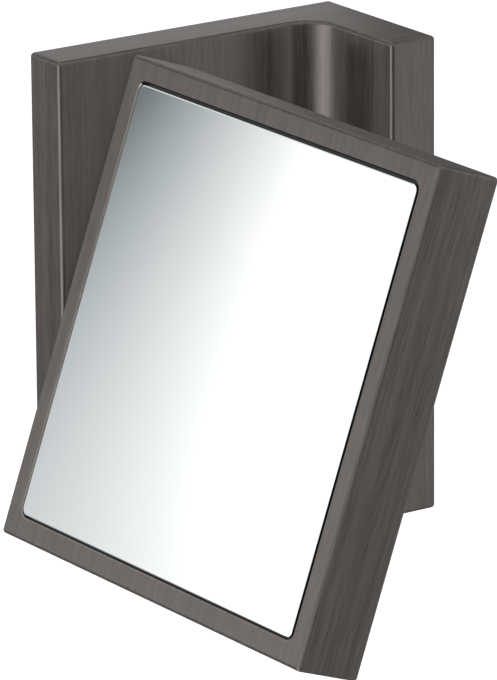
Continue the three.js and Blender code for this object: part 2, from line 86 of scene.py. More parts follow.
# Dimensions that no box gives: the CAD's own, and the edge rounds, lip cut, arris and seal lap of the looks
GAP = 0.3 * MM
SKIN = 3 * MM
FLOOR_SKIN = 6 * MM
INNER_ROUND = 10 * MM
CORNER_ROUND = 1.2 * MM
EDGE_ROUND = 1.15 * MM
ARM_SOLID_END = 23 * MM
INSERT_RADIUS = 6 * MM
INSERT_LENGTH = 10.7 * MM
GRUB_RADIUS = 2 * MM
GRUB_X = 14 * MM
GRUB_Y = -8 * MM
RIM = 7 * MM
RIM_THICKNESS = 2.6 * MM
FRAME_WALL = 3 * MM
HEAD_CORNER_ROUND = 1.25 * MM
HEAD_EDGE_ROUND = 1.22 * MM
OPENING_ROUND = 3 * MM
LIP_CUT = 0.45 * MM
GLASS_GAP = 0.8 * MM
SEAL_LAP = 0.2 * MM  # the seal reaches this far behind the glass's edge
GLASS_RISE = 0.2 * MM
GLASS_THICKNESS = 3 * MM
ADHESIVE_THICKNESS = 0.5 * MM
ARRIS = 0.3 * MM
COVER_THICKNESS = 2 * MM
COVER_SINK = 0.3 * MM
COVER_SCREW_INSET = 5 * MM
COVER_SCREW_RADIUS = 1.4 * MM
COVER_SCREW_HEAD_RADIUS = 2.8 * MM
COVER_SCREW_LENGTH = 8 * MM
PAD_THICKNESS = 6 * MM
PAD_HALF_HEIGHT = 19 * MM
GUSSET_LEG = 13 * MM
GUSSET_DEPTH = 7 * MM
AXLE_HOLE_RADIUS = 6 * MM
BLOCK_SCREW_RADIUS = 1.8 * MM
BLOCK_SCREW_Z = 11.5 * MM
BLOCK_SCREW_BITE = 4.5 * MM
PLATE_THICKNESS = 4 * MM
FLANGE_DEPTH = 10 * MM
FLANGE_THICKNESS = 3 * MM
WALL_HOLE_RADIUS = 2.7 * MM
WALL_HOLE_HEIGHTS = (45 * MM, -40 * MM)
SPACER_BORE = 3.9 * MM


# ---------------------------------------------------------------- mesh helpers

def arc(centre, radius, start, end, steps):
    """Points on an arc in a plane; start and end are in degrees."""
    angles = [math.radians(start + (end - start) * i / steps) for i in range(steps + 1)]
    return [(centre[0] + radius * math.cos(a), centre[1] + radius * math.sin(a)) for a in angles]


def round_rectangle(half_width, half_height, radius, steps=6):
    corners = [(1, 1, 0), (-1, 1, 90), (-1, -1, 180), (1, -1, 270)]
    points = []
    for side_x, side_y, start in corners:
        centre = (side_x * (half_width - radius), side_y * (half_height - radius))
        points += arc(centre, radius, start, start + 90, steps)
    return points


def circle(radius, steps=48):
    return arc((0, 0), radius, 0, 360 * (steps - 1) / steps, steps - 1)


def hexagon(apothem, steps=48):
    """A hexagon walked in as many points as the circle that it faces."""
    points = []
    for i in range(steps):
        angle = math.radians(360 * i / steps)
        off_flat = (angle + math.pi / 6) % (math.pi / 3) - math.pi / 6
        radius = apothem / math.cos(off_flat)
        points.append((radius * math.cos(angle), radius * math.sin(angle)))
    return points


def along_y(points, y):
    """A ring seen from the front, x right and z up, at a depth."""
    return [Vector((u, y, v)) for u, v in points]


def along_z(points, z):
    return [Vector((u, v, z)) for u, v in points]


def along_x(points, x):
    return [Vector((x, u, v)) for u, v in points]


def quarter_round(size, steps=5):
    """(inset, depth) pairs from a flat face's border to the full outline, round a quarter circle."""
    angles = [math.pi / 2 * i / steps for i in range(steps + 1)]
    return [(size * (1 - math.sin(a)), size * (1 - math.cos(a))) for a in angles]


def loft(rings, closed=False):
    """Verts and faces of a skin over rings with equal counts. An open one gets a face on each end."""
    count = len(rings[0])
    verts = [p for ring in rings for p in ring]
    faces = []
    pairs = len(rings) if closed else len(rings) - 1
    for i in range(pairs):
        low, high = i * count, ((i + 1) % len(rings)) * count
        for k in range(count):
            n = (k + 1) % count
            faces.append((low + k, low + n, high + n, high + k))
    if not closed:
        faces.append(tuple(reversed(range(count))))
        faces.append(tuple(range(len(verts) - count, len(verts))))
    return verts, faces


def make_object(name, verts, faces):
    mesh = bpy.data.meshes.new(name)
    mesh.from_pydata(verts, [], faces)
    work = bmesh.new()
    work.from_mesh(mesh)
    bmesh.ops.recalc_face_normals(work, faces=work.faces)
    work.to_mesh(mesh)
    work.free()
    piece = bpy.data.objects.new(name, mesh)
    bpy.context.scene.collection.objects.link(piece)
    return piece


def tool_box(x, y, z):
    rectangle = [(x[0], z[0]), (x[1], z[0]), (x[1], z[1]), (x[0], z[1])]
    return make_object("tool", *loft([along_y(rectangle, y[0]), along_y(rectangle, y[1])]))


def tool_rod(axis, radius, span, centre, end_radius=None, steps=48):
    """A cylinder, or a cone with end_radius, along X, Y or Z. centre is on its axis."""
    lay = {"X": along_x, "Y": along_y, "Z": along_z}[axis]
    end_radius = radius if end_radius is None else end_radius
    rings = [lay(circle(radius, steps), span[0]), lay(circle(end_radius, steps), span[1])]
    rings = [[p + Vector(centre) for p in ring] for ring in rings]
    return make_object("tool", *loft(rings))


def carve(piece, *tools, operation="DIFFERENCE"):
    for tool in tools:
        change = piece.modifiers.new("carve", "BOOLEAN")
        change.operation = operation
        change.solver = "EXACT"
        change.object = tool
        bpy.context.view_layer.update()
        evaluated = piece.evaluated_get(bpy.context.evaluated_depsgraph_get())
        mesh = bpy.data.meshes.new_from_object(evaluated)
        piece.modifiers.clear()
        piece.data = mesh
        bpy.data.objects.remove(tool)
    return piece


def soften(piece, chosen, size, steps=3):
    """Rounds the edges for which chosen(one end, other end) is true."""
    work = bmesh.new()
    work.from_mesh(piece.data)
    edges = [e for e in work.edges if chosen(e.verts[0].co, e.verts[1].co)]
    bmesh.ops.bevel(
        work, geom=edges, offset=size, segments=steps, profile=0.5, affect="EDGES", clamp_overlap=True,
    )
    work.to_mesh(piece.data)
    work.free()
    return piece


SHARP_ANGLE = 30  # degrees


def finish_piece(piece, material, body, replaces=(), place=None):
    """Shades and places a piece, hangs it on its body and hides the CAD nodes that it replaces."""
    mesh = piece.data
    if not mesh.materials:
        mesh.materials.append(material)
    mesh.shade_smooth()
    mesh.set_sharp_from_angle(angle=math.radians(SHARP_ANGLE))
    weigh = piece.modifiers.new("weigh_normals", "WEIGHTED_NORMAL")
    weigh.keep_sharp = True
    weigh.weight = 100
    if place is not None:
        mesh.transform(place)
    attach(piece, body)
    if replaces:
        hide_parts(*replaces)
    return piece


def finish_head_piece(piece, material, slot, *nodes):
    """Finishes a piece that was made upright and leans with the mirror head."""
    return finish_piece(piece, material, "mirror_head", nodes, place=HEAD_PLACE)


# ---------------------------------------------------------------- materials

class Nodes:
    """Short calls for building a node tree."""

    def __init__(self, name):
        self.material = bpy.data.materials.new(name)
        self.material.use_nodes = True
        self.tree = self.material.node_tree
        self.shader = self.tree.nodes["Principled BSDF"]

    @classmethod
    def on_tree(cls, tree):
        nodes = cls.__new__(cls)
        nodes.tree = tree
        return nodes

    def add(self, kind, **settings):
        node = self.tree.nodes.new(kind)
        for key, value in settings.items():
            setattr(node, key, value)
        return node

    def link(self, source, target):
        self.tree.links.new(source, target)

    def set(self, **values):
        for key, value in values.items():
            self.shader.inputs[key.replace("_", " ")].default_value = value

    def math(self, operation, a, b=0.0):
        node = self.add("ShaderNodeMath", operation=operation)
        for socket, value in zip(node.inputs, (a, b)):
            if isinstance(value, (int, float)):
                socket.default_value = value
            else:
                self.link(value, socket)
        return node.outputs[0]

    def vector(self, operation, a, b):
        node = self.add("ShaderNodeVectorMath", operation=operation)
        for socket, value in zip(node.inputs, (a, b)):
            if isinstance(value, (tuple, Vector)):
                socket.default_value = value
            else:
                self.link(value, socket)
        return node.outputs[0]

    def turn_about_x(self, vector, angle):
        node = self.add("ShaderNodeVectorRotate", rotation_type="X_AXIS")
        node.inputs["Angle"].default_value = angle
        self.link(vector, node.inputs["Vector"])
        return node.outputs[0]

    def noise(self, vector, scale, detail=2.0, roughness=0.5):
        node = self.add("ShaderNodeTexNoise")
        node.inputs["Scale"].default_value = scale
        node.inputs["Detail"].default_value = detail
        node.inputs["Roughness"].default_value = roughness
        self.link(vector, node.inputs["Vector"])
        return node.outputs["Fac"]

    def ramp(self, value, low, high, kind="LINEAR"):
        node = self.add("ShaderNodeMapRange", interpolation_type=kind)
        node.inputs["From Min"].default_value = low[0]
        node.inputs["From Max"].default_value = high[0]
        node.inputs["To Min"].default_value = low[1]
        node.inputs["To Max"].default_value = high[1]
        self.link(value, node.inputs["Value"])
        return node.outputs["Result"]

    def mix_color(self, factor, a, b):
        node = self.add("ShaderNodeMix", data_type="RGBA")
        self.link(factor, node.inputs["Factor"])
        for socket, value in zip((node.inputs[6], node.inputs[7]), (a, b)):
            if isinstance(value, tuple):
                socket.default_value = (*value, 1.0)
            else:
                self.link(value, socket)
        return node.outputs[2]

    def mix_value(self, factor, a, b):
        node = self.add("ShaderNodeMix", data_type="FLOAT")
        self.link(factor, node.inputs["Factor"])
        for socket, value in zip((node.inputs[2], node.inputs[3]), (a, b)):
            if isinstance(value, (int, float)):
                socket.default_value = value
            else:
                self.link(value, socket)
        return node.outputs[0]

    def bump(self, height, distance, strength=1.0):
        node = self.add("ShaderNodeBump")
        node.inputs["Strength"].default_value = strength
        node.inputs["Distance"].default_value = distance
        self.link(height, node.inputs["Height"])
        self.link(node.outputs["Normal"], self.shader.inputs["Normal"])


UPRIGHT_LIMIT = 0.72  # a face whose normal is closer to the vertical than this counts as level
LEVEL_CONTRAST = 2.6  # how much stronger the grain's colour is on level faces
GRAIN_RANGE = (0.37, 0.63)  # the grain's noise runs mostly between these values


def brushed_metal(name, color, lean=0.0, roughness=0.33, contrast=0.25):
    """Metal brushed upright on its sides and front to back on its top and bottom. lean is the tilt of
    the pieces that it is on, so that the grain follows them."""
    n = Nodes(name)
    place = n.add("ShaderNodeTexCoord")
    position = n.turn_about_x(place.outputs["Object"], lean)
    normal = n.turn_about_x(place.outputs["Normal"], lean)
    facing = n.add("ShaderNodeSeparateXYZ")
    n.link(normal, facing.inputs[0])
    is_level = n.math("GREATER_THAN", n.math("ABSOLUTE", facing.outputs["Z"]), UPRIGHT_LIMIT)

    def grain(scale, detail, along):
        upright = n.noise(n.vector("MULTIPLY", position, (1.0, 1.0, along)), scale, detail, 0.65)
        level = n.noise(n.vector("MULTIPLY", position, (1.0, along, 1.0)), scale, detail, 0.65)
        return n.mix_value(is_level, upright, level)

    fine = grain(2600.0, 2.0, 0.03)
    broad = grain(520.0, 1.0, 0.015)
    wide = grain(130.0, 1.0, 0.02)
    cloud = n.noise(position, 22.0, 2.0, 0.5)
    lines = n.math("ADD", n.math("MULTIPLY", fine, 0.62), n.math("MULTIPLY", broad, 0.28))
    lines = n.math("ADD", lines, n.math("MULTIPLY", wide, 0.10))

    dark = tuple(c * (1 - contrast) for c in color)
    light = tuple(c * (1 + contrast) for c in color)
    low, high = GRAIN_RANGE
    lightness = n.ramp(lines, (low, 0.0), (high, 1.0))
    upright_shade = n.mix_color(lightness, dark, light)
    # The level faces are seen at a low angle, which hides a weak grain
    darkest = tuple(c * (1 - LEVEL_CONTRAST * contrast) for c in color)
    lightest = tuple(c * (1 + LEVEL_CONTRAST * contrast) for c in color)
    level_shade = n.mix_color(lightness, darkest, lightest)
    shade = n.add("ShaderNodeMix", data_type="RGBA")
    n.link(is_level, shade.inputs["Factor"])
    n.link(upright_shade, shade.inputs[6])
    n.link(level_shade, shade.inputs[7])
    shade = shade.outputs[2]
    cloud_tone = n.ramp(cloud, (0.35, 0.95), (0.65, 1.0))
    toned = n.vector("SCALE", shade, (0, 0, 0))
    n.link(cloud_tone, toned.node.inputs["Scale"])
    n.link(toned, n.shader.inputs["Base Color"])
    n.link(n.ramp(lines, (low, roughness - 0.05), (high, roughness + 0.06)), n.shader.inputs["Roughness"])
    n.set(Metallic=0.6, Anisotropic=0.3)
    n.bump(lines, 0.012 * MM, 0.6)

    # Highlights stretch across the grain
    grain_way = n.add("ShaderNodeCombineXYZ")
    n.link(is_level, grain_way.inputs["Y"])
    n.link(n.math("SUBTRACT", 1.0, is_level), grain_way.inputs["Z"])
    stretch = n.add(
        "ShaderNodeVectorTransform", vector_type="VECTOR", convert_from="OBJECT", convert_to="WORLD",
    )
    across_grain = n.turn_about_x(n.vector("CROSS_PRODUCT", normal, grain_way.outputs[0]), -lean)
    n.link(across_grain, stretch.inputs[0])
    n.link(stretch.outputs[0], n.shader.inputs["Tangent"])
    return n.material


def plain_metal(name, color, roughness, grain_scale=900.0, contrast=0.08):
    """Rolled, plated or turned metal with a faint isotropic grain."""
    n = Nodes(name)
    position = n.add("ShaderNodeTexCoord").outputs["Object"]
    speck = n.noise(position, grain_scale, 3.0, 0.6)
    cloud = n.noise(position, 60.0, 2.0, 0.5)
    mixed = n.math("ADD", n.math("MULTIPLY", speck, 0.5), n.math("MULTIPLY", cloud, 0.5))
    dark = tuple(c * (1 - contrast) for c in color)
    light = tuple(min(1.0, c * (1 + contrast)) for c in color)
    n.link(n.mix_color(n.ramp(mixed, (0.35, 0.0), (0.65, 1.0)), dark, light), n.shader.inputs["Base Color"])
    n.link(n.ramp(mixed, (0.35, roughness - 0.06), (0.65, roughness + 0.08)), n.shader.inputs["Roughness"])
    n.set(Metallic=1.0)
    n.bump(speck, 0.006 * MM, 0.5)
    return n.material


def dull(name, color, roughness, grain_scale=1400.0, contrast=0.15, depth=0.02):
    """Rubber, nylon and foam tape: a fine moulded grain."""
    n = Nodes(name)
    position = n.add("ShaderNodeTexCoord").outputs["Object"]
    grain = n.noise(position, grain_scale, 3.0, 0.6)
    dark = tuple(c * (1 - contrast) for c in color)
    light = tuple(c * (1 + contrast) for c in color)
    n.link(n.mix_color(n.ramp(grain, (0.35, 0.0), (0.65, 1.0)), dark, light), n.shader.inputs["Base Color"])
    n.link(n.ramp(grain, (0.35, roughness - 0.08), (0.65, roughness + 0.08)), n.shader.inputs["Roughness"])
    n.bump(grain, depth * MM, 0.6)
    return n.material


def silvered_glass(name):
    """The mirror's face: a polished silver seen through glass, with a breath of uneven polish."""
    n = Nodes(name)
    position = n.add("ShaderNodeTexCoord").outputs["Object"]
    haze = n.noise(position, 14.0, 3.0, 0.55)
    tint = n.mix_color(n.ramp(haze, (0.3, 0.0), (0.7, 1.0)), (0.925, 0.945, 0.95), (0.945, 0.96, 0.962))
    n.link(tint, n.shader.inputs["Base Color"])
    n.link(n.ramp(haze, (0.3, 0.012), (0.7, 0.022)), n.shader.inputs["Roughness"])
    n.set(Metallic=1.0)
    return n.material


def painted_shade_edge(name):
    """The glass's ground sides and the wall of the frame's opening, painted near-black and nearly
    unreflecting: painted shade for the dark gap round the glass.
    """
    n = Nodes(name)
    position = n.add("ShaderNodeTexCoord").outputs["Object"]
    streak = n.noise(n.vector("MULTIPLY", position, (1.0, 0.08, 1.0)), 700.0, 2.0, 0.5)
    tint = n.mix_color(n.ramp(streak, (0.3, 0.0), (0.7, 1.0)), (0.003, 0.005, 0.005), (0.006, 0.01, 0.009))
    n.link(tint, n.shader.inputs["Base Color"])
    n.link(n.ramp(streak, (0.3, 0.55), (0.7, 0.7)), n.shader.inputs["Roughness"])
    n.set(IOR=1.52, Specular_IOR_Level=0.05)
    return n.material


METAL_TINT = (1.15, 1.0, 0.92)
DARK_METAL = tuple(0.088 * c for c in METAL_TINT)
BRUSHED = brushed_metal("dark_brushed_metal", DARK_METAL)
BRUSHED_LEANING = brushed_metal("dark_brushed_metal_leaning", DARK_METAL, TILT)
# A lighter copy of the head's metal: painted highlight on the lip cut at the left and the bottom of the
# opening
PAINTED_HIGHLIGHT_LIP = brushed_metal("painted_highlight_lip", tuple(0.17 * c for c in METAL_TINT), TILT, 0.3)
SILVER = silvered_glass("silvered_glass")
# Near-black and nearly unreflecting: painted shade for the dark gap round the glass, on the glass's sides and
# the opening's walls
PAINTED_SHADE_GLASS_SIDE = painted_shade_edge("painted_shade_edge")
PAINTED_SHADE_OPENING_WALL = painted_shade_edge("painted_shade_opening_wall")
PLATED = plain_metal("plated_steel", (0.50, 0.51, 0.52), 0.38)
BRIGHT = plain_metal("bright_steel", (0.62, 0.63, 0.64), 0.24)
BLACKENED = plain_metal("blackened_steel", (0.07, 0.067, 0.065), 0.34)
ALUMINIUM = plain_metal("aluminium_sheet", (0.72, 0.73, 0.74), 0.42)
BRONZE = plain_metal("oiled_bronze", (0.52, 0.34, 0.15), 0.34)
RUBBER = dull("black_rubber", (0.012, 0.012, 0.012), 0.75)
NYLON = dull("black_nylon", (0.02, 0.02, 0.021), 0.5)
TAPE = dull("foam_tape", (0.62, 0.61, 0.57), 0.85, 900.0, 0.06)


# ---------------------------------------------------------------- bracket

ARM_OUTER_X = BRACKET_LOW.x
ARM_INNER_X = ARM_OUTER_X + SECTION
LEG_RIGHT_X = BRACKET_HIGH.x
ARM_END_Y = BRACKET_LOW.y
TOP_Z = BRACKET_HIGH.z
POCKET_LOW_Z = BRACKET_LOW.z + FLOOR_SKIN
POCKET_HIGH_Z = TOP_Z - SKIN


def bracket_outline(inset):
    """The L in plan, every side moved in by inset."""
    outer = CORNER_ROUND - inset
    inner = INNER_ROUND + inset
    c = CORNER_ROUND
    points = arc((ARM_OUTER_X + c, -c), outer, 180, 90, 6)
    points += arc((LEG_RIGHT_X - c, -c), outer, 90, 0, 6)
    points += arc((LEG_RIGHT_X - c, -SECTION + c), outer, 0, -90, 6)
    points += arc((ARM_INNER_X + INNER_ROUND, -SECTION - INNER_ROUND), inner, 90, 180, 28)
    points += arc((ARM_INNER_X - c, ARM_END_Y + c), outer, 0, -90, 6)
    points += arc((ARM_OUTER_X + c, ARM_END_Y + c), outer, -90, -180, 6)
    return points


def bracket_piece():
    rounding = quarter_round(EDGE_ROUND)
    rings = [along_z(bracket_outline(inset), BRACKET_LOW.z + depth) for inset, depth in rounding]
    rings += [along_z(bracket_outline(inset), TOP_Z - depth) for inset, depth in reversed(rounding)]
    body = make_object("bracket_body", *loft(rings))
    pocket_x = (ARM_OUTER_X + SKIN, LEG_RIGHT_X - SKIN)
    pocket_z = (POCKET_LOW_Z, POCKET_HIGH_Z)
    past = 2 * MM
    leg_pocket = tool_box(pocket_x, (-SECTION + SKIN, past), pocket_z)
    arm_pocket = tool_box((pocket_x[0], ARM_INNER_X - SKIN), (ARM_END_Y + ARM_SOLID_END, past), pocket_z)
    seat = tool_rod(
        "X", INSERT_RADIUS + GAP,
        (ARM_INNER_X - INSERT_LENGTH - 2 * GAP, ARM_INNER_X + past), (0, PIVOT.y, PIVOT.z),
    )
    holes = [
        tool_rod("Z", GRUB_RADIUS + GAP, (BRACKET_LOW.z - past, POCKET_LOW_Z + past), (x, GRUB_Y, 0))
        for x in (-GRUB_X, GRUB_X)
    ]
    carve(body, leg_pocket, arm_pocket, seat, *holes)

    def at_mouth(a, b):
        on_wall = abs(a.y) < 1e-6 and abs(b.y) < 1e-6
        inside = all(
            pocket_x[0] - 1e-5 < p.x < pocket_x[1] + 1e-5 and pocket_z[0] - 1e-5 < p.z < pocket_z[1] + 1e-5
            for p in (a, b)
        )
        return on_wall and inside

    def at_hole(a, b):
        level = abs(a.z - BRACKET_LOW.z) < 1e-6 and abs(b.z - BRACKET_LOW.z) < 1e-6
        reach = GRUB_RADIUS + 2 * GAP
        return level and all(
            min(math.hypot(p.x - x, p.y - GRUB_Y) for x in (-GRUB_X, GRUB_X)) < reach
            for p in (a, b)
        )

    soften(body, lambda a, b: at_mouth(a, b) or at_hole(a, b), 0.3 * MM)
    return finish_piece(body, BRUSHED, "bracket", ["bracket"])


# ---------------------------------------------------------------- mirror head

HALF_WIDTH = HEAD_WIDTH / 2
HALF_HEIGHT = HEIGHT / 2
FRONT_Y = -HEAD_DEPTH / 2
BACK_Y = HEAD_DEPTH / 2
INNER_HALF_WIDTH = HALF_WIDTH - FRAME_WALL
INNER_HALF_HEIGHT = HALF_HEIGHT - FRAME_WALL
COVER_BACK_Y = BACK_Y - COVER_SINK
CARRIER_FRONT_Y = FRONT_Y - GLASS_RISE + GLASS_THICKNESS + 2 * GAP + ADHESIVE_THICKNESS
LUG_BACK_Y = COVER_BACK_Y - COVER_THICKNESS - GAP
BLOCK_FRONT_Y = FRONT_Y - GLASS_RISE + GLASS_THICKNESS + 1.5 * GAP
SCREW_X = INNER_HALF_WIDTH - COVER_SCREW_INSET
SCREW_Z = INNER_HALF_HEIGHT - COVER_SCREW_INSET
CORNERS = [(-1, 1), (1, 1), (1, -1), (-1, -1)]


def head_ring(side_inset, radius, y):
    """A rounded rectangle set in from the head's outer sides."""
    return along_y(round_rectangle(HALF_WIDTH - side_inset, HALF_HEIGHT - side_inset, radius), y)


def gusset(side_x, side_z):
    """A corner lug that takes a cover screw."""
    x, z = side_x * (INNER_HALF_WIDTH + MM), side_z * (INNER_HALF_HEIGHT + MM)
    leg = GUSSET_LEG + MM
    corner = [(x, z), (x - side_x * leg, z), (x, z - side_z * leg)]
    rings = [along_y(corner, LUG_BACK_Y - GUSSET_DEPTH), along_y(corner, LUG_BACK_Y)]
    return make_object("tool", *loft(rings))


def frame_piece():
    """One skin that goes round the rim, over the sides, and back through the opening."""
    rings = []
    rings.append(head_ring(RIM, OPENING_ROUND, FRONT_Y + LIP_CUT))
    rings.append(head_ring(RIM - LIP_CUT, OPENING_ROUND + LIP_CUT, FRONT_Y))
    for inset, depth in quarter_round(HEAD_EDGE_ROUND, 4):
        rings.append(head_ring(inset, HEAD_CORNER_ROUND - inset, FRONT_Y + depth))
    for inset, depth in reversed(quarter_round(HEAD_EDGE_ROUND, 4)):
        rings.append(head_ring(inset, HEAD_CORNER_ROUND - inset, BACK_Y - depth))
    inner_edge = 0.3 * MM
    rings.append(head_ring(FRAME_WALL - inner_edge, 1 * MM, BACK_Y))
    rings.append(head_ring(FRAME_WALL, 1 * MM, BACK_Y - inner_edge))
    rings.append(head_ring(FRAME_WALL, 1 * MM, FRONT_Y + RIM_THICKNESS))
    rings.append(head_ring(RIM, OPENING_ROUND, FRONT_Y + RIM_THICKNESS))
    shell = make_object("mirror_frame_shell", *loft(rings, closed=True))
    wall_in = PAD_THICKNESS - HALF_WIDTH
    pad = tool_box(
        (MM - HALF_WIDTH, wall_in), (BLOCK_FRONT_Y, LUG_BACK_Y), (-PAD_HALF_HEIGHT, PAD_HALF_HEIGHT),
    )
    carve(shell, pad, *[gusset(side_x, side_z) for side_x, side_z in CORNERS], operation="UNION")
    past = 2 * MM
    holes = [tool_rod("X", AXLE_HOLE_RADIUS, (-HALF_WIDTH - past, wall_in + past), (0, 0, 0))]
    for z in (-BLOCK_SCREW_Z, BLOCK_SCREW_Z):
        holes.append(tool_rod(
            "X", BLOCK_SCREW_RADIUS + GAP,
            (wall_in - BLOCK_SCREW_BITE - GAP, wall_in + past), (0, 0, z), steps=32,
        ))
    for side_x, side_z in CORNERS:
        span = (COVER_BACK_Y - COVER_SCREW_LENGTH - GAP, LUG_BACK_Y + past)
        place = (side_x * SCREW_X, 0, side_z * SCREW_Z)
        holes.append(tool_rod("Y", COVER_SCREW_RADIUS + GAP, span, place, steps=32))
    carve(shell, *holes)
    shell.data.materials.append(BRUSHED_LEANING)
    shell.data.materials.append(PAINTED_HIGHLIGHT_LIP)
    shell.data.materials.append(PAINTED_SHADE_OPENING_WALL)
    for face in shell.data.polygons:
        x, y, z = face.center
        by_opening = max(abs(x) - HALF_WIDTH, abs(z) - HALF_HEIGHT) < 0.9 * LIP_CUT - RIM
        if by_opening and FRONT_Y < y < FRONT_Y + 0.9 * LIP_CUT:
            # Painted highlight and painted shade: the cut is painted lighter metal at the left and the
            # bottom, which face the light, and near-black at the top and the right, where it turns from the
            # light
            face.material_index = 1 if face.normal.x + face.normal.z > 0 else 2
        # The opening's walls are painted near-black: painted shade for the dark gap round the glass
        elif by_opening and y < FRONT_Y + RIM_THICKNESS and abs(face.normal.y) < 0.3:
            face.material_index = 2

    def at_axle_hole(a, b):
        return all(
            math.hypot(p.y, p.z) < AXLE_HOLE_RADIUS + 1e-5 and abs(p.x + HALF_WIDTH) < 1e-5 for p in (a, b)
        )

    soften(shell, at_axle_hole, 0.3 * MM)
    return finish_head_piece(shell, BRUSHED_LEANING, "dark_brushed_metal", "mirror_frame")


def glass_piece():
    """The plate of glass, its front edge ground to a narrow bright arris."""
    side = RIM + GLASS_GAP
    radius = OPENING_ROUND - GLASS_GAP
    front = FRONT_Y - GLASS_RISE
    back = front + GLASS_THICKNESS
    rings = [
        head_ring(side + ARRIS, radius, front),
        head_ring(side + ARRIS * 0.55, radius, front + ARRIS * 0.4),
        head_ring(side, radius, front + ARRIS),
        head_ring(side, radius, back),
    ]
    verts, faces = loft(rings)
    plate = make_object("mirror_glass_plate", verts, faces)
    plate.data.materials.append(SILVER)
    plate.data.materials.append(PAINTED_SHADE_GLASS_SIDE)
    # The glass's sides take the near-black painted shade of the gap
    for face in plate.data.polygons:
        if face.center.y > front + ARRIS:
            face.material_index = 1
    return finish_head_piece(plate, SILVER, "mirror_glass", "mirror_glass")


def cover_piece():
    side = FRAME_WALL + GAP
    front = COVER_BACK_Y - COVER_THICKNESS
    edge = 0.25 * MM
    rings = [
        head_ring(side, HEAD_CORNER_ROUND, front),
        head_ring(side, HEAD_CORNER_ROUND, COVER_BACK_Y - edge),
        head_ring(side + edge * 0.3, HEAD_CORNER_ROUND, COVER_BACK_Y - edge * 0.3),
        head_ring(side + edge, HEAD_CORNER_ROUND, COVER_BACK_Y),
    ]
    plate = make_object("back_cover_plate", *loft(rings))
    for side_x, side_z in CORNERS:
        centre = (side_x * SCREW_X, 0, side_z * SCREW_Z)
        clear = COVER_SCREW_RADIUS + GAP
        sink = COVER_SCREW_HEAD_RADIUS - COVER_SCREW_RADIUS
        carve(
            plate,
            tool_rod("Y", clear, (front - MM, COVER_BACK_Y + MM), centre),
            tool_rod(
                "Y", clear, (COVER_BACK_Y - sink, COVER_BACK_Y + 0.1 * MM), centre, clear + sink + 0.1 * MM,
            ),
        )
    return finish_head_piece(plate, BRUSHED_LEANING, "dark_brushed_metal", "back_cover")


def seal_piece():
    """The soft rubber ring behind the rim, round the glass."""
    y = (FRONT_Y + RIM_THICKNESS + GAP, CARRIER_FRONT_Y - GAP)
    outer, inner, edge = FRAME_WALL + GAP, RIM + GLASS_GAP + SEAL_LAP, 0.3 * MM
    rings = []
    for inset, depth in quarter_round(edge, 3):
        rings.append(head_ring(outer + inset, OPENING_ROUND, y[0] + depth))
    for inset, depth in reversed(quarter_round(edge, 3)):
        rings.append(head_ring(outer + inset, OPENING_ROUND, y[1] - depth))
    for inset, depth in quarter_round(edge, 3):
        rings.append(head_ring(inner - inset, OPENING_ROUND - GLASS_GAP, y[1] - depth))
    for inset, depth in reversed(quarter_round(edge, 3)):
        rings.append(head_ring(inner - inset, OPENING_ROUND - GLASS_GAP, y[0] + depth))
    ring = make_object("glass_seal_ring", *loft(rings, closed=True))
    relief_z = PAD_HALF_HEIGHT + GAP
    relief = tool_box(
        (-HALF_WIDTH, inner - HALF_WIDTH), (BLOCK_FRONT_Y - GAP, y[1] + MM), (-relief_z, relief_z),
    )
    carve(ring, relief)
    return finish_head_piece(ring, RUBBER, "black_rubber", "glass_seal")


def cover_screw_piece(index, side_x, side_z):
    """A countersunk screw with a six-sided socket, its shank rolled with a fine thread."""
    top = COVER_BACK_Y - 0.1 * MM
    head = COVER_SCREW_HEAD_RADIUS - COVER_SCREW_RADIUS
    end = COVER_BACK_Y - COVER_SCREW_LENGTH
    edge = 0.15 * MM
    tip = 0.4 * MM
    rings = [along_y(circle(COVER_SCREW_RADIUS * 0.6), end)]
    rings.append(along_y(circle(COVER_SCREW_RADIUS * 0.9), end + tip))
    pitch = 0.45 * MM
    y = end + tip
    while y + pitch < top - head - 0.3 * MM:
        rings.append(along_y(circle(COVER_SCREW_RADIUS), y + pitch * 0.4))
        rings.append(along_y(circle(COVER_SCREW_RADIUS * 0.84), y + pitch * 0.9))
        y += pitch
    rings.append(along_y(circle(COVER_SCREW_RADIUS * 0.98), top - head))
    rings.append(along_y(circle(COVER_SCREW_HEAD_RADIUS), top - edge))
    rings.append(along_y(circle(COVER_SCREW_HEAD_RADIUS - edge * 0.3), top - edge * 0.3))
    rings.append(along_y(circle(COVER_SCREW_HEAD_RADIUS - edge), top))
    rings.append(along_y(hexagon(0.98 * MM), top))
    rings.append(along_y(hexagon(0.90 * MM), top - 0.08 * MM))
    rings.append(along_y(hexagon(0.90 * MM), top - 1.1 * MM))
    screw = make_object(f"cover_screw_head_{index}", *loft(rings))
    screw.data.transform(Matrix.Translation((side_x * SCREW_X, 0, side_z * SCREW_Z)))
    return finish_head_piece(screw, BLACKENED, "dark_steel", f"cover_screw_{index}")


